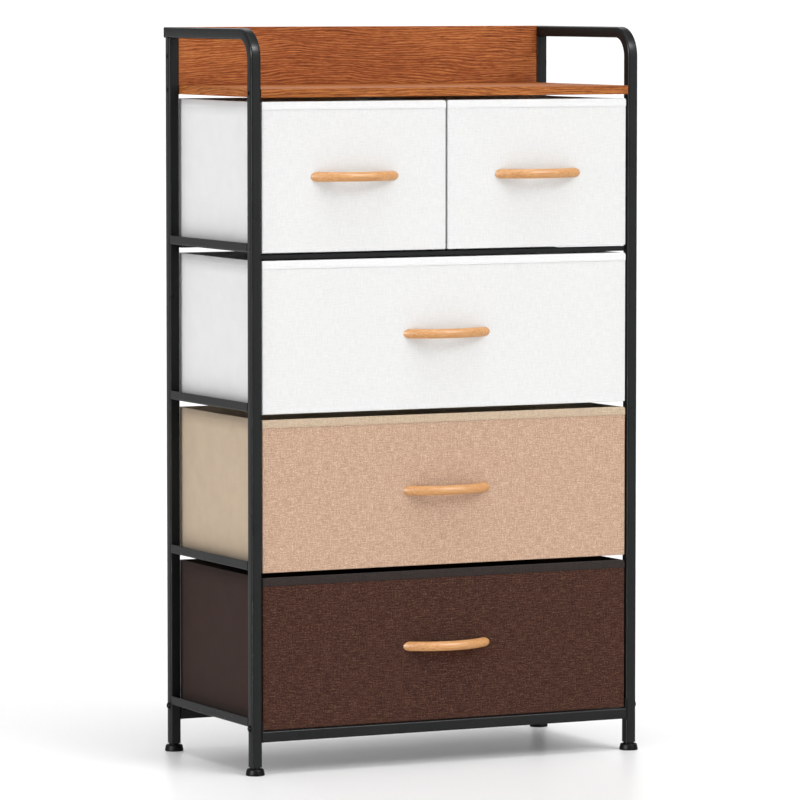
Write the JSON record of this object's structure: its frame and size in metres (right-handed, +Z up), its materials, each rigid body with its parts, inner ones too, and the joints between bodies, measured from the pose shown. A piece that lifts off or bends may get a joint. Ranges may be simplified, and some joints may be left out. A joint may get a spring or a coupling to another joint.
{
  "type": "fabric drawer dresser",
  "caption": "Freestanding dresser: square-tube steel frame with gallery rails, wooden top and fabric drawers with bowed wooden handles.",
  "frame": {"origin": "on the floor, at the middle of the whole dresser's footprint, handles and rail ends included", "axes": "+X to the dresser's right as seen from its front, +Y from the front to the back, +Z up"},
  "size_m": [0.5956, 0.3108, 1],
  "materials": {
    "charcoal_steel": "satin powder coat",
    "wood_board": "satin reddish-brown wood grain",
    "dark_fasteners": "blackened",
    "black_plastic": "matt black",
    "light_wood": "clear satin lacquer",
    "fibre_board": "raw fibre board",
    "zinc_screws": "zinc plated",
    "white_linen": "woven linen look",
    "white_bin_fabric": "non-woven",
    "tan_linen": "mottled woven linen look",
    "tan_bin_fabric": "non-woven",
    "brown_linen": "heathered woven linen look",
    "brown_bin_fabric": "non-woven"
  },
  "bodies": {
    "frame": {"left_hoop": "charcoal_steel", "right_hoop": "charcoal_steel", "left_rear_post": "charcoal_steel", "right_rear_post": "charcoal_steel", "left_runner_1": "charcoal_steel", "left_runner_2": "charcoal_steel", "left_runner_3": "charcoal_steel", "left_runner_4": "charcoal_steel", "right_runner_1": "charcoal_steel", "right_runner_2": "charcoal_steel", "right_runner_3": "charcoal_steel", "right_runner_4": "charcoal_steel", "front_bottom_rail": "charcoal_steel", "rear_bottom_rail": "charcoal_steel", "front_mid_rail": "charcoal_steel", "rear_mid_rail": "charcoal_steel", "center_runner": "charcoal_steel", "top_board": "wood_board", "back_panel": "wood_board", "board_screws": "dark_fasteners", "panel_screws": "dark_fasteners", "frame_bolts": "dark_fasteners", "hoop_end_caps": "black_plastic", "foot_inserts": "black_plastic"},
    "front_left_foot": {"front_left_foot": "black_plastic"},
    "front_right_foot": {"front_right_foot": "black_plastic"},
    "rear_left_foot": {"rear_left_foot": "black_plastic"},
    "rear_right_foot": {"rear_right_foot": "black_plastic"},
    "upper_left_drawer": {"upper_left_bin": "white_bin_fabric", "upper_left_front_board": "fibre_board", "upper_left_front_cover": "white_linen", "upper_left_base_board": "fibre_board", "upper_left_handle": "light_wood", "upper_left_handle_screws": "zinc_screws"},
    "upper_right_drawer": {"upper_right_bin": "white_bin_fabric", "upper_right_front_board": "fibre_board", "upper_right_front_cover": "white_linen", "upper_right_base_board": "fibre_board", "upper_right_handle": "light_wood", "upper_right_handle_screws": "zinc_screws"},
    "second_drawer": {"second_bin": "white_bin_fabric", "second_front_board": "fibre_board", "second_front_cover": "white_linen", "second_base_board": "fibre_board", "second_handle": "light_wood", "second_handle_screws": "zinc_screws"},
    "third_drawer": {"third_bin": "tan_bin_fabric", "third_front_board": "fibre_board", "third_front_cover": "tan_linen", "third_base_board": "fibre_board", "third_handle": "light_wood", "third_handle_screws": "zinc_screws"},
    "bottom_drawer": {"bottom_bin": "brown_bin_fabric", "bottom_front_board": "fibre_board", "bottom_front_cover": "brown_linen", "bottom_base_board": "fibre_board", "bottom_handle": "light_wood", "bottom_handle_screws": "zinc_screws"}
  },
  "joints": [
    {"name": "upper_left_drawer_slide", "type": "slide", "parent": "frame", "child": "upper_left_drawer", "axis": [0, -1, 0], "range_m": [0, 0.2]},
    {"name": "upper_right_drawer_slide", "type": "slide", "parent": "frame", "child": "upper_right_drawer", "axis": [0, -1, 0], "range_m": [0, 0.2]},
    {"name": "second_drawer_slide", "type": "slide", "parent": "frame", "child": "second_drawer", "axis": [0, -1, 0], "range_m": [0, 0.2]},
    {"name": "third_drawer_slide", "type": "slide", "parent": "frame", "child": "third_drawer", "axis": [0, -1, 0], "range_m": [0, 0.2]},
    {"name": "bottom_drawer_slide", "type": "slide", "parent": "frame", "child": "bottom_drawer", "axis": [0, -1, 0], "range_m": [0, 0.2]},
    {"name": "front_left_foot_turn", "type": "hinge", "parent": "frame", "child": "front_left_foot", "pos_m": [-0.285, -0.125, 0], "axis": [0, 0, 1], "continuous": true},
    {"name": "front_right_foot_turn", "type": "hinge", "parent": "frame", "child": "front_right_foot", "pos_m": [0.285, -0.125, 0], "axis": [0, 0, 1], "continuous": true},
    {"name": "rear_left_foot_turn", "type": "hinge", "parent": "frame", "child": "rear_left_foot", "pos_m": [-0.285, 0.143, 0], "axis": [0, 0, 1], "continuous": true},
    {"name": "rear_right_foot_turn", "type": "hinge", "parent": "frame", "child": "rear_right_foot", "pos_m": [0.285, 0.143, 0], "axis": [0, 0, 1], "continuous": true}
  ]
}
